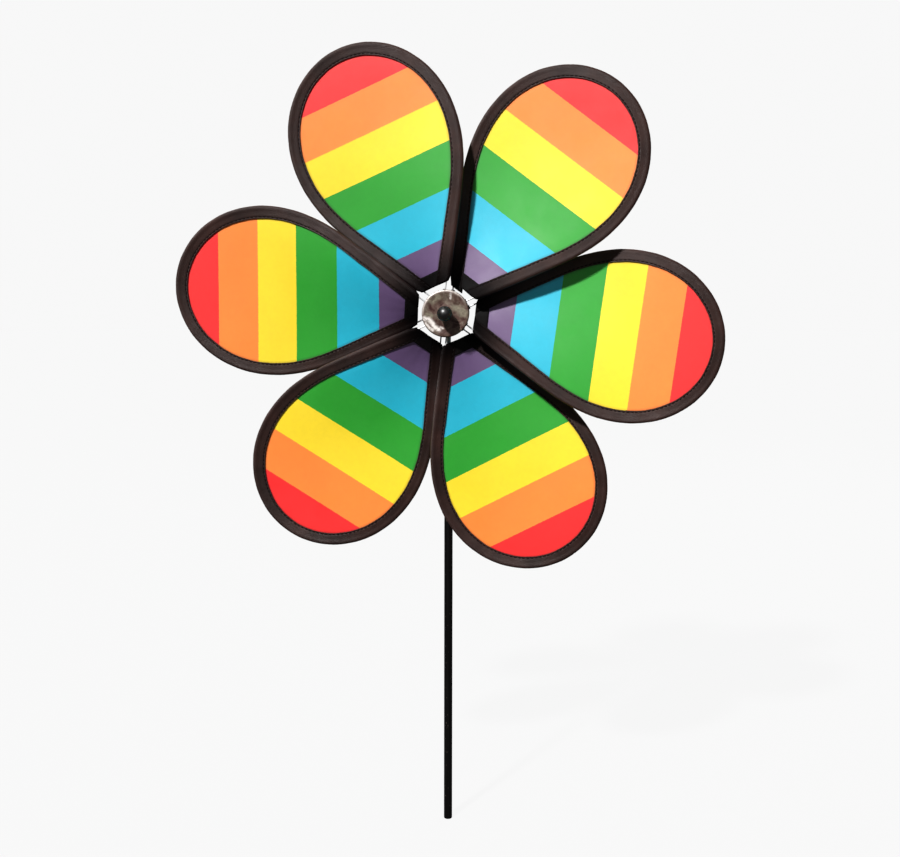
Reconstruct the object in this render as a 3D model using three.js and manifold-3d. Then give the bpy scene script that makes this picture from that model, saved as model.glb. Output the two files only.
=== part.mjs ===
// Pinwheel: a six-petal fabric flower that spins on a bent wire at the top of a thin garden stick.
// Millimetres, +Z up. The origin is the centre of the stick's foot, and the wheel faces -Y.

import * as THREE from 'three';
import { mergeVertices } from 'three/addons/utils/BufferGeometryUtils.js';
import Module from 'manifold-3d';

const wasm = await Module();
wasm.setup();

// Stick and the height of the wheel's axle
const AXLE_HEIGHT = 374;
const STICK_RADIUS = 3;
const STICK_TOP = 334;

// Wheel: petals, and where the wheel's middle plane stands in front of the stick
const PETALS = 6;
const FIRST_PETAL_ANGLE = THREE.MathUtils.degToRad(53.5);
const WHEEL_FORWARD = 26;
const ROW_OFFSET = 6;
const PITCH_GAIN = 0.25;
const PITCH_FULL_AT = 90;
const HOLE_FLAT = 19.3;

// How far each petal's tip leans sideways, anticlockwise from the front, as soft rods let it
const TIP_SWAY = [0.4, -1.8, -0.2, 0.4, 3.6, -2.5];
const SWAY_REACH = 168;
const SWAY_POWER = 1.5;

// Petal outline: the middle line of the edge tape, straight beside the seam and then round the tip
const HALF_SECTOR = Math.PI / PETALS;
const SIDE_HEADING = THREE.MathUtils.degToRad(31);
const STRAIGHT_SHARE = 0.26;
const BEND_POWER = 1.53;
const SEAM_GAP = 0.35;

// Edge tape, hem tape, cloth and rod
const TAPE_HALF = 4.1;
const TAPE_THICK = 0.5;
const CLOTH_THICK = 0.4;
const CLOTH_EDGE = 0.6;
const CLOTH_TIP_SHARE = 0.35;
const GAP = 0.3;
const ROD_RADIUS = 0.5;
const ROD_OFFSET = 2.3;
const ROD_INNER_RADIUS = 7;
const HEM_WIDTH = 9;

// Hub
const HUB_RADIUS = 15.2;
const HUB_HALF_LENGTH = 9.4;
const DISC_RADIUS = 15.85;
const DISC_THICK = 1.8;
const SLEEVE_OUTER = 2.9;
const SLEEVE_INNER = 1.85;
const BORE_RADIUS = SLEEVE_OUTER + GAP;

// Axle: a wire that stands in the cap on the stick, bends forward and carries the wheel
const AXLE_RADIUS = 1.5;
const AXLE_HOLE_RADIUS = AXLE_RADIUS + 0.35;
const AXLE_FOOT = STICK_TOP + 0.6;
const AXLE_BEND_RADIUS = 7;
const AXLE_BEND_STEPS = 8;
const WASHER_THICK = 1;
const KNOB_RADIUS = 5.1;
const KNOB_STEM_RADIUS = 3.4;
const KNOB_STEM = 5.2;
const KNOB_BORE_DEPTH = 7;

// Cap pushed over the stick's top, and the collar on the axle that turns on it
const CAP_RADIUS = 4.8;
const CAP_BOTTOM = STICK_TOP - 16;
const CAP_TOP = STICK_TOP + 11;
const COLLAR_RADIUS = 3.3;
const COLLAR_HEIGHT = 2.5;

const ROUND = 24;

const LOOK = {
  stick: { color: 0x0c0a0a, roughness: 0.45, metalness: 0 },
  holder: { color: 0x111111, roughness: 0.5, metalness: 0 },
  steel: { color: 0xa8a8aa, roughness: 0.3, metalness: 1 },
  hub: { color: 0x1a1816, roughness: 0.5, metalness: 0 },
  disc: { color: 0x6a6056, roughness: 0.25, metalness: 0.8 },
  knob: { color: 0x080808, roughness: 0.12, metalness: 0 },
  cloth: { color: 0xf5d93c, roughness: 0.8, metalness: 0 },
  tape: { color: 0x241814, roughness: 0.85, metalness: 0 },
  rod: { color: 0x9c9c9e, roughness: 0.35, metalness: 1 },
};

function makeMesh(name, look, geometry) {
  const mesh = new THREE.Mesh(geometry, new THREE.MeshStandardMaterial(LOOK[look]));
  mesh.name = name;
  return mesh;
}

// ---- Solids -------------------------------------------------------------------------------

function toSolid(geometry) {
  const bare = geometry.clone();
  bare.deleteAttribute('normal');
  bare.deleteAttribute('uv');
  const merged = mergeVertices(bare, 1e-4);
  return new wasm.Manifold(new wasm.Mesh({
    numProp: 3,
    vertProperties: new Float32Array(merged.attributes.position.array),
    triVerts: new Uint32Array(merged.index.array),
  }));
}

function toGeometry(solid) {
  const { vertProperties, triVerts } = solid.getMesh();
  const geometry = new THREE.BufferGeometry();
  geometry.setAttribute('position', new THREE.BufferAttribute(new Float32Array(vertProperties), 3));
  geometry.setIndex(new THREE.BufferAttribute(new Uint32Array(triVerts), 1));
  geometry.computeVertexNormals();
  return geometry;
}

// A closed body through rings of points, with flat ends. Each ring has the same number of points.
function loft(rings) {
  const size = rings[0].length;
  const positions = rings.flat().flatMap((point) => point.toArray());
  const index = [];
  for (let r = 0; r < rings.length - 1; r += 1) {
    for (let k = 0; k < size; k += 1) {
      const a = r * size + k;
      const b = r * size + ((k + 1) % size);
      index.push(a, b, b + size, a, b + size, a + size);
    }
  }
  index.push(...capFaces(rings[0], 0, true));
  index.push(...capFaces(rings.at(-1), (rings.length - 1) * size, false));
  const geometry = new THREE.BufferGeometry();
  geometry.setAttribute('position', new THREE.Float32BufferAttribute(positions, 3));
  geometry.setIndex(index);
  geometry.computeVertexNormals();
  return geometry;
}

// Flattens a ring on its own plane and fills it with triangles.
function capFaces(ring, offset, flip) {
  const origin = ring[0];
  const u = ring[1].clone().sub(origin).normalize();
  const normal = new THREE.Vector3();
  ring.forEach((point, k) => {
    const next = ring[(k + 1) % ring.length];
    normal.add(point.clone().sub(origin).cross(next.clone().sub(origin)));
  });
  const v = normal.normalize().cross(u);
  const flat = ring.map((point) => {
    const d = point.clone().sub(origin);
    return new THREE.Vector2(d.dot(u), d.dot(v));
  });
  const faces = THREE.ShapeUtils.triangulateShape(flat, []);
  return faces.flatMap(([a, b, c]) => (flip ? [c, b, a] : [a, b, c]).map((k) => k + offset));
}

// A turned piece on the axle line. Points are [radius, distance], turned about the front direction.
function turned(points, segments = ROUND) {
  const profile = points.map(([radius, along]) => new THREE.Vector2(radius, along));
  const geometry = new THREE.LatheGeometry(profile, segments);
  geometry.rotateX(Math.PI);
  return geometry;
}

function ringProfile(inner, outer, from, to) {
  return [[inner, from], [outer, from], [outer, to], [inner, to], [inner, from]];
}

// ---- Petal --------------------------------------------------------------------------------

// Points on the petal are (s, t): s runs out along the petal's own axis from the hub's centre,
// and t runs across it, positive on the anticlockwise side as seen from the front.

const SEAM_INSET = TAPE_HALF + SEAM_GAP;
const EDGE_START_T = (HOLE_FLAT * Math.sin(HALF_SECTOR) - SEAM_INSET) / Math.cos(HALF_SECTOR);

function headingAt(share) {
  const bend = Math.max(0, (share - STRAIGHT_SHARE) / (1 - STRAIGHT_SHARE));
  return SIDE_HEADING - (SIDE_HEADING + Math.PI / 2) * bend ** BEND_POWER;
}

// The middle line of the tape along one side, from the hub to the tip, in small equal steps.
function walkEdge(steps) {
  const track = [{ s: 0, t: 0 }];
  for (let k = 0; k < steps; k += 1) {
    const heading = headingAt((k + 0.5) / steps);
    track.push({ s: track[k].s + Math.cos(heading), t: track[k].t + Math.sin(heading) });
  }
  const scale = -EDGE_START_T / track[steps].t;
  return track.map(({ s, t }) => ({ s: HOLE_FLAT + s * scale, t: EDGE_START_T + t * scale }));
}

const EDGE_STEPS = 600;
const EDGE = walkEdge(EDGE_STEPS);

function edgeAt(share, side) {
  const place = share * EDGE_STEPS;
  const k = Math.min(Math.floor(place), EDGE_STEPS - 1);
  const s = THREE.MathUtils.lerp(EDGE[k].s, EDGE[k + 1].s, place - k);
  const t = THREE.MathUtils.lerp(EDGE[k].t, EDGE[k + 1].t, place - k);
  const heading = headingAt(share);
  return { s, t: side * t, outS: -Math.sin(heading), outT: side * Math.cos(heading) };
}

// Stations along one side: close together near the hub, where the twist changes fastest.
function sideStations(straight, round) {
  const shares = [];
  for (let k = 0; k < straight; k += 1) shares.push(STRAIGHT_SHARE * (k / straight) ** 1.5);
  for (let k = 0; k <= round; k += 1) {
    shares.push(STRAIGHT_SHARE + (1 - STRAIGHT_SHARE) * (k / round));
  }
  return shares;
}

const SHARES = sideStations(5, 11);
const LOOP = [
  ...SHARES.map((share) => edgeAt(share, 1)),
  ...SHARES.slice(0, -1).reverse().map((share) => edgeAt(share, -1)),
];

function offsetPoint(station, outward) {
  return { s: station.s + outward * station.outS, t: station.t + outward * station.outT };
}

// The rod's straight run crosses the petal's axis here, and the twist is measured from that point.
const TWIST_CENTRE = (() => {
  const start = offsetPoint(LOOP[0], ROD_OFFSET);
  return start.s - start.t / Math.tan(SIDE_HEADING);
})();

// How far the petal's middle surface stands towards the front. Both rod runs leave the hub level
// with their own row of holes, spread a little further apart, and meet again at the tip.
function lift(s, t) {
  const spread = 1 + PITCH_GAIN * THREE.MathUtils.smoothstep(s, HOLE_FLAT, PITCH_FULL_AT);
  return (-ROW_OFFSET * spread * t) / ((s - TWIST_CENTRE) * Math.tan(SIDE_HEADING));
}

function surfaceNormal(s, t) {
  const step = 0.01;
  const slopeS = (lift(s + step, t) - lift(s - step, t)) / (2 * step);
  const slopeT = (lift(s, t + step) - lift(s, t - step)) / (2 * step);
  return new THREE.Vector3(-slopeS, -1, -slopeT).normalize();
}

// A point of the petal, a distance off its middle surface, positive towards the front (-Y).
// The sway starts from nothing at the hub, and moves the tip sideways by its full amount.
function petalPoint({ s, t }, off, sway) {
  const reach = Math.max(0, s - HOLE_FLAT) / SWAY_REACH;
  const base = new THREE.Vector3(s, -lift(s, t), t + sway * reach ** SWAY_POWER);
  return base.addScaledVector(surfaceNormal(s, t), off);
}

// Folded tape: outward offset and height of the section's points, in order round the section.
function tapeSection() {
  const inside = CLOTH_THICK / 2 + GAP;
  const outside = inside + TAPE_THICK;
  const pocket = ROD_RADIUS + GAP;
  const roll = pocket + TAPE_THICK;
  const mouth = ROD_OFFSET - pocket - 0.6;
  return [
    [-TAPE_HALF, inside], [mouth, inside], [ROD_OFFSET, pocket],
    [ROD_OFFSET + pocket, 0],
    [ROD_OFFSET, -pocket], [mouth, -inside], [-TAPE_HALF, -inside],
    [-TAPE_HALF, -outside], [mouth, -outside], [ROD_OFFSET, -roll],
    [TAPE_HALF, 0],
    [ROD_OFFSET, roll], [mouth, outside], [-TAPE_HALF, outside],
  ];
}

// The tape's cut ends lie on the flat of the hexagonal hole, so the end points slide along the tape.
function slideToHole(point) {
  const along = (HOLE_FLAT - point.s) / Math.cos(SIDE_HEADING);
  return {
    s: HOLE_FLAT,
    t: point.t + Math.sign(point.t) * along * Math.sin(SIDE_HEADING),
  };
}

function tapeGeometry(sway) {
  const section = tapeSection();
  const last = LOOP.length - 1;
  const rings = LOOP.map((station, k) => section.map(([outward, height]) => {
    const point = offsetPoint(station, outward);
    return petalPoint(k === 0 || k === last ? slideToHole(point) : point, height, sway);
  }));
  return loft(rings);
}

// Cloth: rows of points straight across the petal, from one tape pocket to the other.
function clothGeometry(sway) {
  const across = 4;
  const half = CLOTH_THICK / 2;
  const rows = SHARES.slice(0, -1).map((share, k) => {
    const edge = offsetPoint(edgeAt(share, 1), CLOTH_EDGE);
    return k === 0 ? slideToHole(edge) : edge;
  });
  rows[0].s += GAP + TAPE_THICK;
  const tip = offsetPoint(edgeAt(1, 1), CLOTH_EDGE);
  rows.push({ s: tip.s, t: rows.at(-1).t * CLOTH_TIP_SHARE });
  const rings = rows.map(({ s, t }) => {
    const columns = Array.from({ length: across + 1 }, (_, k) => t * (1 - (2 * k) / across));
    const front = columns.map((column) => petalPoint({ s, t: column }, half, sway));
    const back = columns.map((column) => petalPoint({ s, t: column }, -half, sway)).reverse();
    return [...front, ...back];
  });
  return loft(rings);
}

// Hem: a tape folded over the cloth's narrow end, between the inner edges of the edge tape.
function hemGeometry(sway) {
  const inside = CLOTH_THICK / 2 + GAP;
  const outside = inside + TAPE_THICK;
  const first = HOLE_FLAT;
  const last = HOLE_FLAT + HEM_WIDTH;
  const fold = first + TAPE_THICK;
  const section = [
    [last, outside], [first, outside], [first, -outside], [last, -outside],
    [last, -inside], [fold, -inside], [fold, inside], [last, inside],
  ];
  const innerEdge = slideToHole(offsetPoint(LOOP[0], -TAPE_HALF)).t - GAP / Math.cos(SIDE_HEADING);
  const halfWidth = (s) => innerEdge + (s - HOLE_FLAT) * Math.tan(SIDE_HEADING);
  const columns = [1, 0.5, 0, -0.5, -1];
  const rings = columns.map((share) => section.map(([s, height]) => (
    petalPoint({ s, t: share * halfWidth(s) }, height, sway)
  )));
  return loft(rings);
}

// Rod: from inside the hub, out beside the seam, round the petal in the tape's fold and back.
function rodLine(sway) {
  const start = offsetPoint(LOOP[0], ROD_OFFSET);
  const along = start.s * Math.cos(SIDE_HEADING) + start.t * Math.sin(SIDE_HEADING);
  const inner = {
    s: start.s - (along - ROD_INNER_RADIUS) * Math.cos(SIDE_HEADING),
    t: start.t - (along - ROD_INNER_RADIUS) * Math.sin(SIDE_HEADING),
  };
  const loop = LOOP.map((station) => offsetPoint(station, ROD_OFFSET));
  return [inner, ...loop, { s: inner.s, t: -inner.t }].map((point) => petalPoint(point, 0, sway));
}

function rodGeometry(radius, sides, sway) {
  const line = rodLine(sway);
  const front = new THREE.Vector3(0, -1, 0);
  const rings = line.map((point, k) => {
    const before = line[Math.max(0, k - 1)];
    const after = line[Math.min(line.length - 1, k + 1)];
    const ahead = after.clone().sub(before).normalize();
    const out = ahead.clone().cross(front).normalize();
    const up = out.clone().cross(ahead);
    return Array.from({ length: sides }, (_, side) => {
      const angle = (-2 * Math.PI * side) / sides;
      return point.clone()
        .addScaledVector(out, radius * Math.cos(angle))
        .addScaledVector(up, radius * Math.sin(angle));
    });
  });
  return loft(rings);
}

function petalAngle(index) {
  return FIRST_PETAL_ANGLE + (index * 2 * Math.PI) / PETALS;
}

function makePetal(index) {
  const petal = new THREE.Group();
  const label = index + 1;
  const sway = TIP_SWAY[index];
  petal.add(makeMesh(`petal_rod_${label}`, 'rod', rodGeometry(ROD_RADIUS, 6, sway)));
  petal.add(makeMesh(`petal_sail_${label}`, 'cloth', clothGeometry(sway)));
  petal.add(makeMesh(`petal_binding_${label}`, 'tape', tapeGeometry(sway)));
  petal.add(makeMesh(`petal_hem_${label}`, 'tape', hemGeometry(sway)));
  petal.rotation.y = -petalAngle(index);
  return petal;
}

// ---- Hub ----------------------------------------------------------------------------------

// Straight stubs as thick as a rod hole, along both ends of one petal's rod.
function rodHoles(index) {
  const radius = ROD_RADIUS + GAP;
  const [inner, start] = rodLine(0);
  const run = start.clone().sub(inner).normalize();
  const length = HUB_RADIUS;
  const middle = inner.clone().addScaledVector(run, length / 2 - GAP);
  const stubs = [1, -1].map((side) => {
    const stub = new THREE.CylinderGeometry(radius, radius, length, 8);
    const direction = new THREE.Vector3(run.x, 0, side * run.z);
    stub.applyQuaternion(new THREE.Quaternion().setFromUnitVectors(THREE.Object3D.DEFAULT_UP, direction));
    stub.translate(middle.x, side * middle.y, side * middle.z);
    stub.rotateY(-petalAngle(index));
    return toSolid(stub);
  });
  return stubs[0].add(stubs[1]);
}

function hubBody() {
  const rim = 1;
  let hub = toSolid(turned([
    [BORE_RADIUS, -HUB_HALF_LENGTH], [HUB_RADIUS - rim, -HUB_HALF_LENGTH],
    [HUB_RADIUS, rim - HUB_HALF_LENGTH], [HUB_RADIUS, HUB_HALF_LENGTH],
    [BORE_RADIUS, HUB_HALF_LENGTH], [BORE_RADIUS, -HUB_HALF_LENGTH],
  ], 32));
  for (let index = 0; index < PETALS; index += 1) hub = hub.subtract(rodHoles(index));
  return makeMesh('hub_body', 'hub', toGeometry(hub));
}

function makeHub() {
  const hub = new THREE.Group();
  const discBack = HUB_HALF_LENGTH + GAP;
  const discFront = discBack + DISC_THICK;
  const edge = 0.5;
  hub.add(hubBody());
  hub.add(makeMesh('hub_front_disc', 'disc', turned([
    [BORE_RADIUS, discBack], [DISC_RADIUS, discBack], [DISC_RADIUS, discFront - edge],
    [DISC_RADIUS - edge, discFront], [BORE_RADIUS, discFront], [BORE_RADIUS, discBack],
  ], 32)));
  hub.add(makeMesh('hub_sleeve', 'steel', turned(
    ringProfile(SLEEVE_INNER, SLEEVE_OUTER, -HUB_HALF_LENGTH, discFront),
  )));
  return hub;
}

function makeWheel() {
  const wheel = new THREE.Group();
  for (let index = 0; index < PETALS; index += 1) wheel.add(makePetal(index));
  wheel.add(makeHub());
  return wheel;
}

// ---- Axle line and stick ------------------------------------------------------------------

// Distances along the axle are measured from the wheel's middle plane, positive to the front.
const DISC_FRONT = HUB_HALF_LENGTH + GAP + DISC_THICK;
const FRONT_WASHER = DISC_FRONT + GAP;
const KNOB_BACK = FRONT_WASHER + WASHER_THICK + GAP;
const REAR_WASHER = -HUB_HALF_LENGTH - GAP - WASHER_THICK;
const SPACER_BACK = AXLE_BEND_RADIUS + 1 - WHEEL_FORWARD;

function knobGeometry() {
  const ballCentre = KNOB_BACK + KNOB_STEM;
  const join = Math.asin(KNOB_STEM_RADIUS / KNOB_RADIUS);
  const arcSteps = 8;
  const profile = [
    [0, KNOB_BACK + KNOB_BORE_DEPTH], [AXLE_HOLE_RADIUS, KNOB_BACK + KNOB_BORE_DEPTH],
    [AXLE_HOLE_RADIUS, KNOB_BACK], [KNOB_STEM_RADIUS, KNOB_BACK],
  ];
  for (let k = 0; k <= arcSteps; k += 1) {
    const angle = THREE.MathUtils.lerp(Math.PI - join, 0, k / arcSteps);
    profile.push([KNOB_RADIUS * Math.sin(angle), ballCentre + KNOB_RADIUS * Math.cos(angle)]);
  }
  return turned(profile, 20);
}

// The pieces threaded on the axle, placed by their distance from the wheel's middle plane
function makeAxleLine() {
  const line = new THREE.Group();
  const washer = (from) => turned(ringProfile(AXLE_HOLE_RADIUS, 4.2, from, from + WASHER_THICK));
  line.add(makeMesh('axle_knob', 'knob', knobGeometry()));
  line.add(makeMesh('front_washer', 'steel', washer(FRONT_WASHER)));
  line.add(makeMesh('rear_washer', 'steel', washer(REAR_WASHER)));
  line.add(makeMesh('rear_spacer', 'holder', turned(
    ringProfile(AXLE_HOLE_RADIUS, 3.2, SPACER_BACK, REAR_WASHER - GAP),
  )));
  return line;
}

// The axle's wire: up out of the cap, round a quarter turn and forward into the knob.
function axleGeometry() {
  const sides = 20;
  const tip = WHEEL_FORWARD + KNOB_BACK + KNOB_BORE_DEPTH - GAP;
  const stations = [{ y: 0, z: AXLE_FOOT, turn: 0 }];
  for (let k = 0; k <= AXLE_BEND_STEPS; k += 1) {
    const turn = (Math.PI / 2) * (k / AXLE_BEND_STEPS);
    stations.push({
      y: AXLE_BEND_RADIUS * (Math.cos(turn) - 1),
      z: AXLE_HEIGHT + AXLE_BEND_RADIUS * (Math.sin(turn) - 1),
      turn,
    });
  }
  stations.push({ y: -tip, z: AXLE_HEIGHT, turn: Math.PI / 2 });
  return loft(stations.map(({ y, z, turn }) => {
    const inward = new THREE.Vector3(0, -Math.cos(turn), -Math.sin(turn));
    return Array.from({ length: sides }, (_, k) => {
      const angle = (-2 * Math.PI * k) / sides;
      return new THREE.Vector3(AXLE_RADIUS * Math.cos(angle), y, z)
        .addScaledVector(inward, AXLE_RADIUS * Math.sin(angle));
    });
  }));
}

// A turned piece on the stick's line. Points are [radius, height].
function upright(points) {
  const geometry = new THREE.LatheGeometry(points.map(([x, z]) => new THREE.Vector2(x, z)), ROUND);
  geometry.rotateX(Math.PI / 2);
  return geometry;
}

function capGeometry() {
  const socketRadius = STICK_RADIUS + GAP + 0.05;
  const socketTop = STICK_TOP + GAP;
  const foot = 0.6;
  const shoulder = 1.4;
  return upright([
    [socketRadius, CAP_BOTTOM], [CAP_RADIUS - foot, CAP_BOTTOM], [CAP_RADIUS, CAP_BOTTOM + foot],
    [CAP_RADIUS, CAP_TOP - shoulder], [CAP_RADIUS - shoulder, CAP_TOP],
    [AXLE_HOLE_RADIUS, CAP_TOP], [AXLE_HOLE_RADIUS, socketTop], [socketRadius, socketTop],
    [socketRadius, CAP_BOTTOM],
  ]);
}

function stickGeometry() {
  const edge = 0.5;
  return upright([
    [0, 0], [STICK_RADIUS, 0], [STICK_RADIUS, STICK_TOP - edge],
    [STICK_RADIUS - edge, STICK_TOP], [0, STICK_TOP],
  ]);
}

function makePinwheel() {
  const pinwheel = new THREE.Group();
  const onAxle = new THREE.Group();
  onAxle.position.set(0, -WHEEL_FORWARD, AXLE_HEIGHT);
  onAxle.add(makeWheel());
  onAxle.add(makeAxleLine());
  pinwheel.add(onAxle);
  pinwheel.add(makeMesh('axle', 'steel', axleGeometry()));
  const collarFoot = CAP_TOP + GAP;
  pinwheel.add(makeMesh('swivel_collar', 'holder', upright(
    ringProfile(AXLE_HOLE_RADIUS, COLLAR_RADIUS, collarFoot, collarFoot + COLLAR_HEIGHT),
  )));
  pinwheel.add(makeMesh('stick_cap', 'holder', capGeometry()));
  pinwheel.add(makeMesh('stick', 'stick', stickGeometry()));
  return pinwheel;
}

export default makePinwheel();
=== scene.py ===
import math

import bmesh
import bpy
import numpy as np
from mathutils import Matrix, Vector


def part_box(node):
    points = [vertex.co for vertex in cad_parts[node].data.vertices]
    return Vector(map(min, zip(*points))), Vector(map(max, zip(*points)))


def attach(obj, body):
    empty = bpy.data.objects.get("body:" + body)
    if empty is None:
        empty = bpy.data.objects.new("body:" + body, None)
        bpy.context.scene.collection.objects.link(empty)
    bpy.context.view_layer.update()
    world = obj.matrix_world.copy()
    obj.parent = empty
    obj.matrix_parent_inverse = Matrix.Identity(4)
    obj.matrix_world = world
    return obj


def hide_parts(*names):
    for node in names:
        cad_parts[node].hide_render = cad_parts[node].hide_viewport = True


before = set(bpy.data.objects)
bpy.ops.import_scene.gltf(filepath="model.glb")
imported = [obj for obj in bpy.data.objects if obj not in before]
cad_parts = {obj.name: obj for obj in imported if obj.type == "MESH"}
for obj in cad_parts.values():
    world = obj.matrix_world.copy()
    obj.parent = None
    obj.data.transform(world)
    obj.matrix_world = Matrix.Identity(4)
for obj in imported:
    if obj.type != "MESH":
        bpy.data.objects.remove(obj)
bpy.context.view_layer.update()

# Everything is in metres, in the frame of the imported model: +Z up, the wheel faces -Y.
MM = 0.001
PETALS = 6
RANDOM_SEED = 20

# ---- Places taken from the frame ------------


def middle(node):
    low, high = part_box(node)
    return (low + high) / 2


WHEEL = middle("hub_body")
HUB_FRONT = WHEEL.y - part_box("hub_body")[0].y
HUB_RADIUS = (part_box("hub_body")[1].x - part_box("hub_body")[0].x) / 2
STICK_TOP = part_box("stick")[1].z
STICK_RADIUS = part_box("stick")[1].x
FRONT = np.array([0.0, -1.0, 0.0])

# The radius of the hole in every piece that sits on the axle wire
WIRE_HOLE = 1.85 * MM


def span(node):
    """Where a piece on the axle line starts and ends, in front of the wheel's middle plane."""
    low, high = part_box(node)
    return WHEEL.y - high.y, WHEEL.y - low.y


def radius_of(node):
    low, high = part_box(node)
    return (high.x - low.x) / 2


# ---- Petal surface ------------
# A petal's points are (s, t): s runs outwards along its axis and t across it, positive on the
# anticlockwise side as seen from the front. n is the height towards the front.

FIRST_PETAL_ANGLE = math.radians(53.5)

# No two petals are alike: how far each tip leans aside, and how much wider and longer than the
# pattern each petal is at its reach
TIP_SWAY = np.array([0.4, -1.8, -0.2, 0.4, 3.6, -2.5]) * MM
SWAY_REACH = 168 * MM
SWAY_POWER = 1.5
WIDER = [0.010, 0.011, -0.010, 0.011, 0.014, 0.009]
LONGER = [0.003, -0.002, -0.006, 0.004, 0.004, 0.001]

# The hub's holes for a petal's two rod ends are this far in front of and behind the middle, and
# the twist that this gives the petal grows a little further out
ROW_OFFSET = 6 * MM
PITCH_GAIN = 0.25
PITCH_FULL_AT = 90 * MM

# The pattern: the flat of the hexagonal hole round the hub, then straight sides that bend round
HOLE_FLAT = 19.3 * MM
SIDE_HEADING = math.radians(31)
SIDE_COS, SIDE_SIN, SIDE_TAN = math.cos(SIDE_HEADING), math.sin(SIDE_HEADING), math.tan(SIDE_HEADING)
STRAIGHT_SHARE = 0.26
BEND_POWER = 1.53
TAPE_HALF = 4.1 * MM
SEAM_GAP = 0.35 * MM
ROD_RADIUS = 0.5 * MM
ROD_OFFSET = 2.3 * MM
ROD_INNER_RADIUS = 7 * MM
HALF_SECTOR = math.pi / PETALS

EDGE_STEPS = 1200
EDGE_SHARES = np.arange(EDGE_STEPS + 1) / EDGE_STEPS


def heading_at(share):
    """The direction of the petal's edge at a share of its way from the hub to the tip."""
    bend = np.maximum(0, (share - STRAIGHT_SHARE) / (1 - STRAIGHT_SHARE))
    return SIDE_HEADING - (SIDE_HEADING + math.pi / 2) * bend**BEND_POWER


def walk_edge():
    """The middle line of the edge tape along one side, from the hub to the tip."""
    start_t = (HOLE_FLAT * math.sin(HALF_SECTOR) - TAPE_HALF - SEAM_GAP) / math.cos(HALF_SECTOR)
    heading = heading_at((np.arange(EDGE_STEPS) + 0.5) / EDGE_STEPS)
    s = np.concatenate([[0], np.cumsum(np.cos(heading))])
    t = np.concatenate([[0], np.cumsum(np.sin(heading))])
    scale = -start_t / t[-1]
    return HOLE_FLAT + s * scale, start_t + t * scale, scale * EDGE_STEPS


EDGE_S, EDGE_T, SIDE_LENGTH = walk_edge()


def edge_point(way, outward):
    """A point beside the tape's middle line. way is -1 at the hub on the clockwise side,
    0 at the tip and 1 at the hub on the anticlockwise side."""
    way = np.asarray(way, float)
    share = 1 - np.abs(way)
    side = np.where(way < 0, -1.0, 1.0)
    heading = heading_at(share)
    s = np.interp(share, EDGE_SHARES, EDGE_S) - outward * np.sin(heading)
    t = np.interp(share, EDGE_SHARES, EDGE_T) + outward * np.cos(heading)
    return s, side * t


# Where a rod's straight run comes out of the tape, and how far out along the run that is
ROD_END_S, ROD_END_T = (float(x) for x in edge_point(1.0, ROD_OFFSET))
ROD_REACH = ROD_END_S * SIDE_COS + ROD_END_T * SIDE_SIN

# Where the straight runs of a petal's two sides would meet, about which the petal is twisted
TWIST_CENTRE = ROD_END_S - ROD_END_T / SIDE_TAN


def straight_run(back):
    """A point on a rod's straight run, back from the tape towards the hub."""
    return ROD_END_S - back * SIDE_COS, ROD_END_T - back * SIDE_SIN


def smoothstep(value, low, high):
    x = np.clip((value - low) / (high - low), 0, 1)
    return x * x * (3 - 2 * x)


def lift(s, t):
    """The height of the rods' twisted surface: one side leans forward and the other back."""
    spread = 1 + PITCH_GAIN * smoothstep(s, HOLE_FLAT, PITCH_FULL_AT)
    return -ROW_OFFSET * spread * t / ((s - TWIST_CENTRE) * SIDE_TAN)


def surface_normal(s, t, height):
    step = 0.02 * MM
    slope_s = (height(s + step, t) - height(s - step, t)) / (2 * step)
    slope_t = (height(s, t + step) - height(s, t - step)) / (2 * step)
    normal = np.stack([-slope_s, -slope_t, np.ones_like(slope_s)], -1)
    return normal / np.linalg.norm(normal, axis=-1, keepdims=True)


def petal_points(index, s, t, off, height):
    """Points of a petal in the frame, off its surface by a distance towards the front."""
    s, t, off = np.broadcast_arrays(*(np.asarray(x, float) for x in (s, t, off)))
    normal = surface_normal(s, t, height)
    reach = np.maximum(0, s - HOLE_FLAT) / SWAY_REACH
    sway = TIP_SWAY[index] * reach**SWAY_POWER
    grown = np.stack([s + LONGER[index] * reach * SWAY_REACH, t * (1 + WIDER[index] * reach)], -1)
    local = np.stack([grown[..., 0], grown[..., 1] + sway, height(s, t)], -1)
    local = local + normal * off[..., None]
    angle = FIRST_PETAL_ANGLE + index * 2 * math.pi / PETALS
    x = local[..., 0] * math.cos(angle) - local[..., 1] * math.sin(angle)
    z = local[..., 0] * math.sin(angle) + local[..., 1] * math.cos(angle)
    return np.stack([WHEEL.x + x, WHEEL.y - local[..., 2], WHEEL.z + z], -1)


# ---- Mesh building ------------

WELD = 0.001 * MM


def add_object(name, data):
    made = bpy.data.objects.new(name, data)
    bpy.context.scene.collection.objects.link(made)
    return made


def new_mesh(name, points, faces):
    mesh = bpy.data.meshes.new(name)
    mesh.from_pydata([tuple(p) for p in points], [], faces)
    return mesh


def new_piece(name, points, faces, body, slot_name, material, node=None, weld=0.0):
    """A piece of the object. Points nearer to each other than weld are merged."""
    mesh = new_mesh(name, points, faces)
    mesh.validate()
    mesh.update()
    mesh.materials.append(material)
    work = bmesh.new()
    work.from_mesh(mesh)
    if weld:
        bmesh.ops.remove_doubles(work, verts=work.verts, dist=weld)
        bmesh.ops.dissolve_degenerate(work, dist=weld, edges=work.edges)
    bmesh.ops.recalc_face_normals(work, faces=work.faces)
    work.to_mesh(mesh)
    work.free()
    mesh.shade_smooth()
    piece = add_object(name, mesh)
    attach(piece, body)
    if node:
        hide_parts(node)
    return piece


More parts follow.
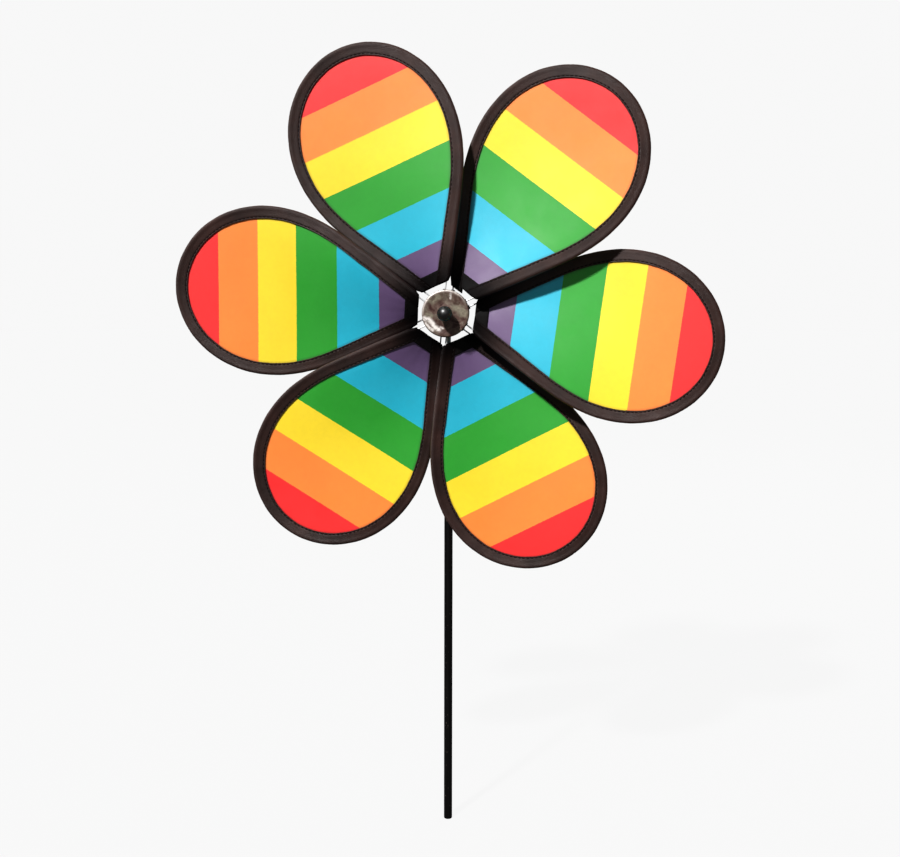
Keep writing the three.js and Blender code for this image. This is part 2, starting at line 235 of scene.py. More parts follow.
def add_values(piece, shape, **values):
    """Named numbers on each point of a grid, which the material reads."""
    for name, numbers in values.items():
        attribute = piece.data.attributes.new(name, "FLOAT", "POINT")
        attribute.data.foreach_set("value", np.broadcast_to(np.float32(numbers), shape).ravel())


def tube_faces(rows, columns, start=0):
    """Faces of a closed body through rings of points, with a flat face at each end."""
    faces = []
    for r in range(rows - 1):
        for c in range(columns):
            a = start + r * columns + c
            b = start + r * columns + (c + 1) % columns
            faces.append((a, b, b + columns, a + columns))
    last = start + (rows - 1) * columns
    faces.append(tuple(reversed(range(start, start + columns))))
    faces.append(tuple(range(last, last + columns)))
    return faces


def tube(rings):
    return rings.reshape(-1, 3), tube_faces(*rings.shape[:2])


def turned_faces(turns, count):
    """Faces of a body made of a closed profile of count points, repeated round a full turn."""
    faces = []
    for a in range(turns):
        b = (a + 1) % turns
        for k in range(count):
            n = (k + 1) % count
            faces.append((a * count + k, a * count + n, b * count + n, b * count + k))
    return faces


def turned(name, profile, body, slot_name, material, node, turns):
    """A body turned about the axle line from a closed profile of (radius, distance) points."""
    profile = np.asarray(profile, float)
    angles = np.arange(turns) * 2 * math.pi / turns
    points = np.stack(
        [
            WHEEL.x + profile[None, :, 0] * np.cos(angles)[:, None],
            WHEEL.y - np.broadcast_to(profile[None, :, 1], (turns, len(profile))),
            WHEEL.z + profile[None, :, 0] * np.sin(angles)[:, None],
        ],
        -1,
    ).reshape(-1, 3)
    faces = turned_faces(turns, len(profile))
    new_piece(name, points, faces, body, slot_name, material, node, WELD)


def rounded(corners, steps=5):
    """A closed profile with each corner rounded. Corners are (radius, distance, rounding)."""
    outline = []
    count = len(corners)
    for k, (x, y, bend) in enumerate(corners):
        here = np.array([x, y])
        if bend <= 0:
            outline.append(here)
            continue
        before = np.array(corners[k - 1][:2]) - here
        after = np.array(corners[(k + 1) % count][:2]) - here
        start = here + before / np.linalg.norm(before) * bend
        end = here + after / np.linalg.norm(after) * bend
        for u in np.linspace(0, 1, steps + 1):
            outline.append((1 - u) ** 2 * start + 2 * u * (1 - u) * here + u * u * end)
    return outline


# ---- Materials ------------


class Paint:
    """A Principled material, with short ways to add nodes and links."""

    def __init__(self, name, colour, roughness, metallic=0.0, **sockets):
        self.material = bpy.data.materials.new(name)
        self.material.use_nodes = True
        self.tree = self.material.node_tree
        self.shader = self.tree.nodes["Principled BSDF"]
        sockets.update(Base_Color=(*colour, 1), Roughness=roughness, Metallic=metallic)
        for socket, value in sockets.items():
            self.shader.inputs[socket.replace("_", " ")].default_value = value

    def node(self, kind, settings=None, **inputs):
        made = self.tree.nodes.new(kind)
        for name, value in (settings or {}).items():
            setattr(made, name, value)
        for name, value in inputs.items():
            self.feed(made, name.replace("_", " "), value)
        return made

    def feed(self, node, socket, value):
        """Links or sets an input. Inputs that share a name go by number: i0, i1 and so on."""
        numbered = socket[0] == "i" and socket[1:].isdigit()
        target = node.inputs[int(socket[1:]) if numbered else socket]
        if isinstance(value, bpy.types.NodeSocket):
            self.tree.links.new(value, target)
        else:
            target.default_value = value

    def math(self, operation, first, second=0.0, third=0.0):
        made = self.node("ShaderNodeMath", {"operation": operation}, i0=first, i1=second, i2=third)
        return made.outputs[0]

    def times(self, first, second):
        return self.math("MULTIPLY", first, second)

    def wave(self, value, pitch):
        return self.math("SINE", self.times(value, 2 * math.pi / pitch))

    def value(self, name):
        """A number that add_values put on the points."""
        return self.node("ShaderNodeAttribute", {"attribute_name": name}).outputs["Fac"]

    def object_place(self, stretch=(1, 1, 1)):
        place = self.node("ShaderNodeTexCoord").outputs["Object"]
        return self.node("ShaderNodeMapping", Vector=place, Scale=stretch).outputs["Vector"]

    def noise(self, scale, detail=3.0, roughness=0.55, place=None, distortion=0.0):
        sockets = {"Scale": scale, "Detail": detail, "Roughness": roughness, "Distortion": distortion}
        place = place or self.object_place()
        return self.node("ShaderNodeTexNoise", Vector=place, **sockets).outputs["Fac"]

    def spread(self, value, from_low, from_high, to_low, to_high):
        """Stretches one range of values to another, and holds it there."""
        made = self.node("ShaderNodeMapRange", Value=value)
        for socket, number in zip(range(1, 5), (from_low, from_high, to_low, to_high)):
            made.inputs[socket].default_value = number
        return made.outputs["Result"]

    def vary(self, noise, low, high):
        """Stretches a noise, which lies mostly between 0.3 and 0.7, to another range."""
        return self.spread(noise, 0.3, 0.7, low, high)

    def ramp(self, value, stops, sharp=False):
        made = self.node("ShaderNodeValToRGB", Fac=value)
        made.color_ramp.interpolation = "CONSTANT" if sharp else "LINEAR"
        elements = made.color_ramp.elements
        while len(elements) > 1:
            elements.remove(elements[-1])
        elements[0].position = stops[0][0]
        elements[0].color = (*srgb(*stops[0][1]), 1)
        for place, colour in stops[1:]:
            elements.new(place).color = (*srgb(*colour), 1)
        return made.outputs["Color"]

    def mix(self, share, first, second, how="MIX"):
        """Mixes two colours, each a socket or screen numbers from 0 to 255."""
        made = self.node("ShaderNodeMix", {"data_type": "RGBA", "blend_type": how})
        self.feed(made, "i0", share)
        for socket, colour in ((6, first), (7, second)):
            if not isinstance(colour, bpy.types.NodeSocket):
                colour = (*srgb(*colour), 1)
            self.feed(made, f"i{socket}", colour)
        return made.outputs[2]

    def grey(self, value):
        return self.node("ShaderNodeCombineColor", Red=value, Green=value, Blue=value).outputs[0]

    def shaded(self, colour, shade):
        return self.mix(1.0, colour, self.grey(shade), "MULTIPLY")

    def finish(self, colour, roughness, height, depth, strength):
        """Links the colour, the roughness and a bump of a depth in millimetres."""
        self.feed(self.shader, "Base Color", colour)
        self.feed(self.shader, "Roughness", roughness)
        bump = self.node("ShaderNodeBump", Height=height, Distance=depth * MM, Strength=strength)
        self.feed(self.shader, "Normal", bump.outputs["Normal"])
        return self.material


def srgb(red, green, blue):
    """Linear colour from 0-255 screen numbers."""
    return tuple(
        c / 12.92 if c <= 0.04045 else ((c + 0.055) / 1.055) ** 2.4
        for c in (red / 255, green / 255, blue / 255)
    )


# Stripes from the hub to the tip: where each starts along the petal, in millimetres, and colour.
STRIPES = [
    (0, (96, 72, 112)),
    (45.9, (2, 176, 201)),
    (74.9, (24, 155, 28)),
    (102.9, (248, 217, 32)),
    (129.3, (255, 138, 50)),
    (156.3, (251, 29, 30)),
]
STRIPE_SCALE = 200.0

# How far apart threads and ribs are, in millimetres
THREAD_PITCH = 0.42
RIB_PITCH = 0.75
CORD_PITCH = 0.5
HEM_RIB_PITCH = 0.6


def cloth_paint():
    """Printed woven cloth: sharp stripes with frayed borders, and painted shade beside the tape."""
    paint = Paint("striped_nylon", (0.8, 0.7, 0.1), 0.5, IOR=1.5, Specular_IOR_Level=1.0)
    fray = paint.math("MULTIPLY_ADD", paint.noise(900, 2.0), 0.5, -0.25)
    place = paint.math("DIVIDE", paint.math("ADD", paint.value("stripe"), fray), STRIPE_SCALE)
    colour = paint.ramp(place, [(s / STRIPE_SCALE, c) for s, c in STRIPES], sharp=True)
    warp = paint.wave(paint.value("across"), THREAD_PITCH)
    weft = paint.wave(paint.value("along"), THREAD_PITCH)
    weave = paint.times(warp, weft)
    fade = paint.vary(paint.noise(28, 4.0), 0.955, 1.03)
    slub = paint.vary(paint.noise(300), 0.975, 1.02)
    shade = paint.times(fade, slub)
    shade = paint.times(shade, paint.math("MULTIPLY_ADD", weave, 0.025, 1.0))
    # Painted shade: the cloth is darker within a short way of the tape's inner edge
    shade = paint.times(shade, paint.spread(paint.value("edge"), 0.0, 1.6, 0.62, 1.0))
    roughness = paint.vary(paint.noise(60), 0.56, 0.66)
    return paint.finish(paint.shaded(colour, shade), roughness, weave, 0.03, 0.5)


def tape_paint():
    """Folded ribbed tape: worn in patches, linty, rubbed at the fold, dark and dull by the hub as painted
    shade.
    """
    paint = Paint("woven_tape", srgb(46, 27, 22), 0.5, Specular_IOR_Level=0.35)
    across = paint.value("across")
    rib = paint.wave(paint.math("ADD", paint.value("along"), across), RIB_PITCH)
    weave = paint.math("MULTIPLY_ADD", paint.wave(across, CORD_PITCH), 0.45, rib)
    wear = paint.spread(paint.noise(45, 4.0), 0.35, 0.72, 0.0, 1.0)
    colour = paint.mix(wear, (38, 20, 15), (60, 36, 30))
    lint = paint.spread(paint.noise(1400, 2.0), 0.66, 0.74, 0.0, 0.35)
    colour = paint.mix(lint, colour, (98, 70, 62))
    fold = paint.spread(paint.value("fold"), 0.9, 1.05, 0.0, 0.28)
    colour = paint.mix(fold, colour, (84, 56, 48))
    # Painted shade: close to the hub the colour goes to near-black and the sheen drops
    faded = paint.value("faded")
    colour = paint.mix(faded, (11, 7, 7), colour)
    colour = paint.shaded(colour, paint.math("MULTIPLY_ADD", weave, 0.10, 0.98))
    paint.feed(paint.shader, "Specular IOR Level", paint.math("MULTIPLY_ADD", faded, 0.37, 0.08))
    fuzz = paint.math("MULTIPLY_ADD", paint.noise(1600), 1.2, weave)
    return paint.finish(colour, paint.vary(paint.noise(120), 0.47, 0.6), fuzz, 0.06, 0.8)


def hem_paint():
    paint = Paint("hem_ribbon", srgb(10, 7, 7), 0.75, Specular_IOR_Level=0.2)
    ribs = paint.wave(paint.value("along"), HEM_RIB_PITCH)
    wear = paint.spread(paint.noise(90, 4.0), 0.35, 0.7, 0.0, 1.0)
    colour = paint.mix(wear, (7, 5, 5), (17, 12, 12))
    colour = paint.shaded(colour, paint.math("MULTIPLY_ADD", ribs, 0.12, 0.95))
    fuzz = paint.math("MULTIPLY_ADD", paint.noise(1500, 2.0), 0.8, ribs)
    return paint.finish(colour, paint.spread(wear, 0.0, 1.0, 0.66, 0.82), fuzz, 0.05, 0.8)


def thread_paint():
    paint = Paint("sewing_thread", srgb(13, 9, 9), 0.7, Specular_IOR_Level=0.15)
    twist = paint.noise(2600, 2.0)
    colour = paint.mix(twist, (6, 4, 4), (22, 15, 14))
    return paint.finish(colour, 0.7, twist, 0.04, 0.6)


def rod_paint():
    paint = Paint("spring_wire", srgb(200, 200, 200), 0.36, 0.3)
    streak = paint.noise(400, 4.0)
    stain = paint.spread(paint.noise(120, 4.0), 0.55, 0.72, 0.0, 0.6)
    colour = paint.mix(streak, (186, 186, 188), (226, 225, 223))
    colour = paint.mix(stain, colour, (120, 104, 92))
    return paint.finish(colour, paint.vary(streak, 0.28, 0.46), streak, 0.03, 0.5)


def stick_paint():
    """A thin black coating, drawn along the stick, with small chips."""
    paint = Paint("coated_stick", srgb(8, 7, 7), 0.4, Specular_IOR_Level=0.35)
    streaks = paint.noise(500, 5.0, place=paint.object_place((1, 1, 0.04)))
    chips = paint.spread(paint.noise(520, 2.0), 0.69, 0.72, 0.0, 1.0)
    colour = paint.mix(streaks, (3, 2, 2), (13, 11, 10))
    colour = paint.mix(chips, colour, (74, 66, 60))
    worn = paint.math("SUBTRACT", streaks, chips)
    return paint.finish(colour, paint.vary(streaks, 0.3, 0.52), worn, 0.04, 0.6)


def plastic_paint(name, dark, light, low, high):
    """Moulded plastic with a fine grain and scuffs. low and high are its roughness."""
    paint = Paint(name, srgb(*dark), (low + high) / 2)
    cloud = paint.noise(140, 4.0)
    scuffs = paint.spread(paint.noise(420, place=paint.object_place((1, 1, 0.3))), 0.6, 0.72, 0, 1)
    colour = paint.mix(cloud, dark, light)
    colour = paint.mix(paint.times(scuffs, 0.4), colour, (70, 66, 62))
    roughness = paint.spread(paint.math("ADD", cloud, scuffs), 0.3, 1.2, low, high)
    return paint.finish(colour, roughness, paint.noise(2200), 0.04, 0.6)


def steel_paint():
    paint = Paint("brushed_steel", srgb(190, 188, 186), 0.3, 0.5)
    lines = paint.noise(900, place=paint.object_place((1, 0.05, 1)))
    spots = paint.spread(paint.noise(260, 4.0), 0.58, 0.72, 0.0, 0.5)
    colour = paint.mix(lines, (168, 166, 164), (216, 214, 210))
    colour = paint.mix(spots, colour, (92, 76, 62))
    return paint.finish(colour, paint.vary(lines, 0.22, 0.42), lines, 0.03, 0.5)


def disc_paint():
    """Thin plated metal, tarnished brown and dusty, with painted reflections and a painted rim highlight as
    bright patches.
    """
    paint = Paint("tarnished_plate", srgb(112, 100, 90), 0.36, 0.15)
    cloud = paint.noise(150, 5.0, 0.6, distortion=0.7)
    fine = paint.noise(700, 4.0)
    tarnish = [(0.36, (72, 48, 44)), (0.48, (98, 78, 70)), (0.62, (118, 106, 94))]
    dusty = paint.times(paint.value("dusty"), paint.spread(cloud, 0.36, 0.5, 0.3, 1.0))
    colour = paint.mix(dusty, paint.ramp(cloud, tarnish), (136, 128, 112))
    colour = paint.shaded(colour, paint.vary(fine, 0.78, 1.16))
    # Painted reflections and highlight: bright patches mixed into the colour
    bright_patches = paint.times(paint.value("rubbed"), paint.spread(fine, 0.36, 0.5, 0.4, 1.1))
    colour = paint.mix(bright_patches, colour, (236, 228, 222))
    height = paint.math("ADD", cloud, paint.times(fine, 0.25))
    return paint.finish(colour, paint.vary(cloud, 0.3, 0.48), height, 0.4, 0.6)


def knob_paint():
    paint = Paint("glossy_knob", srgb(5, 4, 4), 0.42, Specular_IOR_Level=1.0)
    cloud = paint.noise(300, 4.0)
    colour = paint.mix(cloud, (3, 2, 2), (10, 8, 8))
    return paint.finish(colour, paint.vary(cloud, 0.37, 0.46), paint.noise(800), 0.03, 0.4)


CLOTH = cloth_paint()
TAPE = tape_paint()
HEM = hem_paint()
THREAD = thread_paint()
ROD = rod_paint()
STICK = stick_paint()
HOLDER = plastic_paint("moulded_holder", (16, 15, 15), (30, 28, 27), 0.42, 0.58)
HUB = plastic_paint("moulded_hub", (20, 18, 17), (36, 33, 31), 0.4, 0.56)
STEEL = steel_paint()
DISC = disc_paint()
KNOB = knob_paint()


# ---- Petals ------------

STATIONS = 150

# How much the cloth gathers towards the middle near the hub, and where that ends
GATHERED = 0.6
GATHER_END = (85 * MM, 150 * MM)

# How far the stretched cloth bellies backwards, and the two stretches where that grows and ends
BELLY = 0.9 * MM
BELLY_GROWS = (HOLE_FLAT, 70 * MM)
ROD_TIP = float(edge_point(0.0, ROD_OFFSET)[0])
BELLY_ENDS = (120 * MM, ROD_TIP)


def rod_half_widths(count=800):
    """Points along one run of the rod, in order of their distance along the petal."""
    s, t = edge_point(np.linspace(1, 0, count), ROD_OFFSET)
    order = np.argsort(np.clip(s, None, ROD_TIP))
    return np.clip(s, None, ROD_TIP)[order], t[order]


ROD_S, ROD_T = rod_half_widths()


def half_width(s):
    """Half the width between the rod's two runs, at a distance s along the petal's axis."""
    straight = (s - TWIST_CENTRE) * SIDE_TAN
    return np.where(s < ROD_S[0], straight, np.interp(s, ROD_S, ROD_T))


def cloth_height(s, t):
    """Stretched cloth: the rods' twist, gathered towards the middle, with a slight belly."""
    x = np.clip(t / np.maximum(half_width(s), 1 * MM), -1.2, 1.2)
    gathered = GATHERED * (1 - smoothstep(s, *GATHER_END))
    twist = lift(s, t) * (1 + gathered * 0.5 * (1 - x * x))
    belly = smoothstep(s, *BELLY_GROWS) * (1 - smoothstep(s, *BELLY_ENDS))
    return twist - BELLY * belly * np.clip(1 - x * x, 0, 1) ** 2


SLANT_REACH = 8 * MM


def side_arc(way):
    """Distance along the tape's middle line from the hub, in metres."""
    return (1 - np.abs(way)) * SIDE_LENGTH


def slide_to_hole(way, s, t):
    """Slants the tape's last stations, so that its cut end lies on the flat of the hub's hole."""
    share = np.clip(1 - side_arc(way) / SLANT_REACH, 0, 1)
    line_s = HOLE_FLAT + side_arc(way) * SIDE_COS
    along = (line_s - s) / SIDE_COS * share
    return s + along * SIDE_COS, t + np.sign(t) * along * SIDE_SIN


def smooth_path(points, per_span=3):
    """A curve through the points, by Catmull-Rom spans."""
    points = np.asarray(points, float)
    padded = np.vstack([2 * points[0] - points[1], points, 2 * points[-1] - points[-2]])
    made = []
    for k in range(1, len(padded) - 2):
        a, b, c, d = padded[k - 1 : k + 3]
        for u in np.arange(per_span) / per_span:
            square, cube = 2 * a - 5 * b + 4 * c - d, 3 * b - a - 3 * c + d
            made.append(0.5 * (2 * b + (c - a) * u + square * u * u + cube * u**3))
    made.append(points[-1])
    return np.array(made)


def strip_section(path, half_thick):
    """A closed outline round a path, with rounded ends. Gives points and length along the path."""
    step = np.gradient(path, axis=0)
    step /= np.linalg.norm(step, axis=1, keepdims=True)
    normal = np.stack([-step[:, 1], step[:, 0]], -1)
    length = np.concatenate([[0], np.cumsum(np.linalg.norm(np.diff(path, axis=0), axis=1))])
    first = path[:1] - step[:1] * half_thick * 0.7
    last = path[-1:] + step[-1:] * half_thick * 0.7
    outer, inner = path + normal * half_thick, path - normal * half_thick
    outline = np.vstack([first, outer, last, inner[::-1]])
    return outline, np.concatenate([[0], length, length[-1:], length[::-1]])


def tape_path():
    """The folded tape's middle, from the front leg's inner edge round the rod to the back leg."""
    front = [(-4.0, 0.70), (-3.6, 0.71), (-3.0, 0.50), (-2.4, 0.71), (-1.0, 0.73), (0.5, 0.76)]
    front += [(1.6, 0.9), (2.4, 0.96), (3.2, 0.84), (3.85, 0.45)]
    back = [(x, -y) for x, y in reversed(front)]
    return smooth_path([*front, (4.1, 0.0), *back]) * MM


TAPE_OUTLINE, TAPE_LENGTHS = strip_section(tape_path(), 0.22 * MM)
FOLD_AT = 3.9 * MM


# Stations round the petal, from the clockwise side at the hub to the other
WAYS = np.linspace(-1, 1, 2 * STATIONS + 1)

# How far sewing puckers each edge: the tape's inner edge, its fold, its share of thickness and
# the cloth, which the stitches pull for a short way
PUCKER_TAPE = 0.16 * MM
PUCKER_FOLD = 0.10 * MM
PUCKER_THICK = 0.07
PUCKER_CLOTH = 0.10 * MM
PUCKER_REACH = 7 * MM
PUCKER_HEM = 0.12 * MM


def puckers(arc, seed):
    """Small uneven waves along a sewn edge, from -1 to 1."""
    draw = np.random.default_rng(RANDOM_SEED + seed)
    phase = draw.uniform(0, 2 * math.pi, 5)
    pitch = np.array([2.9, 7.3, 13.0, 23.0, 41.0]) * MM
    size = np.array([0.5, 0.35, 0.5, 0.6, 0.6])
    waves = size * np.sin(2 * math.pi * arc[..., None] / pitch + phase)
    return waves.sum(-1) / 2


# Where two petals meet at the hub's hole the tapes' corners are cut back: how far up each seam
NOTCH_LENGTH = [3.4 * MM, 4.0 * MM, 6.5 * MM, 3.8 * MM, 2.0 * MM, 1.6 * MM]
NOTCH_DEPTH = 0.9 * MM

# Beside the seams the tapes are folded wide, so that neighbours nearly close the seam
SEAM_FOLD = 0.35 * MM
SEAM_FOLD_END = 60 * MM

# One tape end was cut long, and pokes out over the hole
LONG_END_PETAL = 0
LONG_END = 3.0 * MM
LONG_END_REACH = 7 * MM

# Painted shade: the tape is painted darkest near the hub, out to the first distance, and free of it from the
# second
DARK_END = 20 * MM
UNSHADED_FROM = 60 * MM


def make_binding(index):
    outward = TAPE_OUTLINE[:, 0]
    arc = np.where(WAYS < 0, side_arc(WAYS), 2 * SIDE_LENGTH - side_arc(WAYS))
    from_hub = np.minimum(arc, 2 * SIDE_LENGTH - arc)
    notch_length = np.where(WAYS > 0, NOTCH_LENGTH[index], NOTCH_LENGTH[index - 1])
    notch = np.clip(1 - from_hub / notch_length, 0, 1) ** 0.5
    beside_seam = 1 - smoothstep(from_hub, SEAM_FOLD_END * 0.6, SEAM_FOLD_END)
    inner_share = np.clip((1.5 * MM - outward) / (5 * MM), 0, 1)
    fold_share = np.clip((outward - 2.0 * MM) / (2.0 * MM), 0, 1)
    out = outward[None] + PUCKER_TAPE * puckers(arc, index)[:, None] * inner_share[None]
    out = out + PUCKER_FOLD * puckers(arc + 0.05, index + 20)[:, None] * fold_share[None]
    out = out + (SEAM_FOLD * beside_seam - NOTCH_DEPTH * notch)[:, None] * fold_share[None]
    high = TAPE_OUTLINE[None, :, 1] * (1 + PUCKER_THICK * puckers(arc + 0.013, index + 40)[:, None])
    grid_way = np.broadcast_to(WAYS[:, None], out.shape)
    s, t = slide_to_hole(grid_way, *edge_point(grid_way, out))
    if index == LONG_END_PETAL:
        overrun = np.clip(1 - (2 * SIDE_LENGTH - arc) / LONG_END_REACH, 0, 1)[:, None] * LONG_END
        s = s - overrun * SIDE_COS
        t = t - overrun * SIDE_SIN
    shape = tube(petal_points(index, s, t, high, cloth_height))
    piece = new_piece(f"binding_{index + 1}", *shape, "wheel", "tape", TAPE, f"petal_binding_{index + 1}")
    add_values(piece, out.shape, along=arc[:, None] / MM, across=TAPE_LENGTHS / MM)
    fold = outward / FOLD_AT
    # Painted shade near the hub: 0 by the hub, 1 beyond it
    add_values(piece, out.shape, fold=fold, faded=smoothstep(np.hypot(s, t), DARK_END, UNSHADED_FROM))
    return piece


CLOTH_EDGE = 0.5 * MM
CLOTH_HALF = 0.17 * MM

# Each petal was cut from the striped cloth a little differently: its lean in degrees, and how far
# its stripes are moved outwards in millimetres
STRIPE_LEAN = [-0.6, -0.3, 4.3, 3.1, 2.8, -1.2]
STRIPE_SHIFT = [0.1, 0.0, 0.0, 1.0, -0.4, -0.5]
CLOTH_COLUMNS = 76


# Folds of the cloth gathered at the hub's hole: how many, how high and how far they reach
GATHER_FOLDS = 5.5
GATHER_HEIGHT = 0.04 * MM
GATHER_REACH = 20 * MM


def front_and_back(values):
    return np.concatenate([values, values[:, ::-1]], axis=1)


def make_sail(index):
    """The cloth of a petal, with the size and the area of its flat pattern."""
    share = np.concatenate([np.linspace(0, 0.3, 60)[:-1], np.linspace(0.3, 0.994, 120)])
    edge_s, edge_t = edge_point(1 - share, CLOTH_EDGE)
    keep = edge_s >= HOLE_FLAT + 0.8 * MM
    edge_s, edge_t = edge_s[keep], edge_t[keep]
    columns = np.linspace(1, -1, CLOTH_COLUMNS)
    s = np.broadcast_to(edge_s[:, None], (len(edge_s), CLOTH_COLUMNS))
    t = edge_t[:, None] * columns[None]
    gap = (1 - np.abs(columns))[None] * edge_t[:, None] * np.cos(0.3)
    pull = puckers(edge_s, index + 60)[:, None] * np.exp(-gap / PUCKER_REACH) * PUCKER_CLOTH
    fade = np.exp(-(s - HOLE_FLAT) / GATHER_REACH)
    base = pull + fade * np.cos(GATHER_FOLDS * math.pi * columns)[None] * GATHER_HEIGHT
    front, back = (petal_points(index, s, t, base + side, cloth_height) for side in (CLOTH_HALF, -CLOTH_HALF))
    vertices, faces = tube(np.concatenate([front, back[:, ::-1]], axis=1))
    faces = faces[:-2]
    width = 2 * CLOTH_COLUMNS
    for first, flip in ((0, True), ((len(edge_s) - 1) * width, False)):
        for k in range(CLOTH_COLUMNS - 1):
            face = (first + k, first + k + 1, first + width - 2 - k, first + width - 1 - k)
            faces.append(tuple(reversed(face)) if flip else face)
    number = index + 1
    piece = new_piece(f"sail_{number}", vertices, faces, "wheel", "cloth", CLOTH, f"petal_sail_{number}")
    lean = math.radians(STRIPE_LEAN[index])
    values = {
        "along": s,
        "across": t,
        "stripe": s * math.cos(lean) + t * math.sin(lean) - STRIPE_SHIFT[index] * MM,
        "edge": np.maximum(edge_distance(s, t) - TAPE_HALF, 0),
    }
    both = {name: front_and_back(numbers) / MM for name, numbers in values.items()}
    add_values(piece, (len(edge_s), width), **both)
    area = abs(np.sum((edge_t[1:] + edge_t[:-1]) * np.diff(edge_s)))
    size = (2 * float(edge_t.max()), float(edge_s.max() - edge_s.min()))
    return piece, size, float(area)


def edge_distance(s, t):
    """How far each point is from the tape's middle line, on the inside."""
    share = np.linspace(0, 1, 400)
    line = zip(np.interp(share, EDGE_SHARES, EDGE_S), np.interp(share, EDGE_SHARES, EDGE_T))
    nearest = np.full(s.shape, 1.0)
    for line_s, line_t in line:
        nearest = np.minimum(nearest, (s - line_s) ** 2 + (np.abs(t) - line_t) ** 2)
    return np.sqrt(nearest)


HEM_COLUMNS = 41
TAPE_INNER_S, TAPE_INNER_T = (float(x) for x in edge_point(1.0, -TAPE_HALF))


def between_tapes(s):
    """Half the width between the tapes' inner edges near the hub."""
    return TAPE_INNER_T + (s - TAPE_INNER_S) * SIDE_TAN


def make_hem(index):
    path = [(28.3, 0.7), (26.0, 0.7), (23.0, 0.7), (20.6, 0.68), (19.75, 0.5), (19.5, 0.0)]
    path += [(x, -y) for x, y in reversed(path[:-1])]
    outline, _ = strip_section(smooth_path(path) * MM, 0.2 * MM)
    s = np.broadcast_to(outline[None, :, 0], (HEM_COLUMNS, len(outline)))
    t = np.linspace(1, -1, HEM_COLUMNS)[:, None] * (between_tapes(s) + 0.1 * MM)
    s = s + PUCKER_HEM * puckers(t + 0.3, index + 80)
    shape = tube(petal_points(index, s, t, outline[None, :, 1], cloth_height))
    piece = new_piece(f"hem_{index + 1}", *shape, "wheel", "tape", HEM, f"petal_hem_{index + 1}")
    add_values(piece, s.shape, along=t / MM)
    return piece


STITCH_PITCH = 3.0 * MM
STITCH_LENGTH = 2.15 * MM
STITCH_LINE = -3.0 * MM
STITCH_START = 3 * MM
HEM_STITCH_LINE = 26.9 * MM
THREAD_RADIUS = 0.34 * MM
THREAD_HEIGHT = 0.78 * MM
THREAD_SIDES = 6

# A stitch's rings: place along it, thickness and how far it is sunk in millimetres
STITCH_RINGS = [
    (-0.5, 0.35, 0.16), (-0.38, 0.9, 0.02), (0.0, 1.0, 0.0), (0.38, 0.9, 0.02), (0.5, 0.35, 0.16),
]


def stitch_places(draw):
    """Where the stitches go, as (s, t, direction), along both sides of the tape and the hem."""
    places = []
    for side in (-1, 1):
        for k in range(int((SIDE_LENGTH - STITCH_START) / STITCH_PITCH)):
            way = side * (1 - (STITCH_START + (k + 0.5) * STITCH_PITCH) / SIDE_LENGTH)
            s, t = edge_point(way, STITCH_LINE + draw.normal(0, 0.05) * MM)
            ahead_s, ahead_t = edge_point(way - side * 0.002, STITCH_LINE)
            direction = np.array([ahead_s - s, ahead_t - t])
            places.append((float(s), float(t), direction / np.linalg.norm(direction)))
    count = int(2 * (between_tapes(HEM_STITCH_LINE) - 0.8 * MM) / STITCH_PITCH)
    for k in range(count):
        places.append((HEM_STITCH_LINE, (k + 0.5 - count / 2) * STITCH_PITCH, np.array([0.0, 1.0])))
    return places


def make_stitching(index):
    """Stitches that hold the tape and the hem, in front and behind."""
    draw = np.random.default_rng(RANDOM_SEED + 100 + index)
    points, faces = [], []
    for s, t, (run_s, run_t) in stitch_places(draw):
        length = STITCH_LENGTH * draw.uniform(0.92, 1.06)
        tilt = draw.normal(0, 0.05)
        direction = np.array([run_s - tilt * run_t, run_t + tilt * run_s])
        beside = np.array([-direction[1], direction[0]])
        for front in (1, -1):
            faces += tube_faces(len(STITCH_RINGS), THREAD_SIDES, len(points))
            for place, thick, sunk in STITCH_RINGS:
                for k in range(THREAD_SIDES):
                    turn = 2 * math.pi * k / THREAD_SIDES
                    wide = THREAD_RADIUS * thick * math.cos(turn) * 1.1
                    high = THREAD_HEIGHT - sunk * MM + THREAD_RADIUS * thick * math.sin(turn) * 0.8
                    at = np.array([s, t]) + direction * place * length + beside * wide
                    points.append((at[0], at[1], front * high))
    placed = petal_points(index, *np.array(points).T, cloth_height)
    return new_piece(f"stitching_{index + 1}", placed, faces, "wheel", "tape", THREAD)


ROD_SIDES = 16


def wire_rings(line, beside, thick, sides):
    """Rings of points round a wire's line. beside is a direction the line never runs along."""
    ahead = np.gradient(line, axis=0)
    ahead /= np.linalg.norm(ahead, axis=1, keepdims=True)
    out = np.cross(ahead, beside)
    out /= np.linalg.norm(out, axis=1, keepdims=True)
    up = np.cross(out, ahead)
    turn = 2 * math.pi * np.arange(sides) / sides
    wide = thick[:, None, None]
    return line[:, None] + wide * (
        out[:, None] * np.cos(turn)[None, :, None] + up[:, None] * np.sin(turn)[None, :, None]
    )


def make_rod(index):
    """A wire loop: round the petal inside the tape, and straight into the hub at both ends."""
    s, t = edge_point(WAYS, ROD_OFFSET)
    extra_s, extra_t = straight_run(np.linspace(0, ROD_REACH - ROD_INNER_RADIUS, 9)[1:])
    s = np.concatenate([extra_s[::-1], s, extra_s])
    t = np.concatenate([-extra_t[::-1], t, extra_t])
    line = petal_points(index, s, t, 0.0, lift)
    thick = np.full(len(line), ROD_RADIUS)
    thick[[0, -1]] *= 0.7
    shape = tube(wire_rings(line, FRONT, thick, ROD_SIDES))
    return new_piece(f"rod_{index + 1}", *shape, "wheel", "rod", ROD, f"petal_rod_{index + 1}")


for petal in range(PETALS):
    rod = make_rod(petal)
    binding = make_binding(petal)
    hem = make_hem(petal)
    stitching = make_stitching(petal)
    sail, flat_size, flat_area = make_sail(petal)


# ---- Hub and axle line ------------


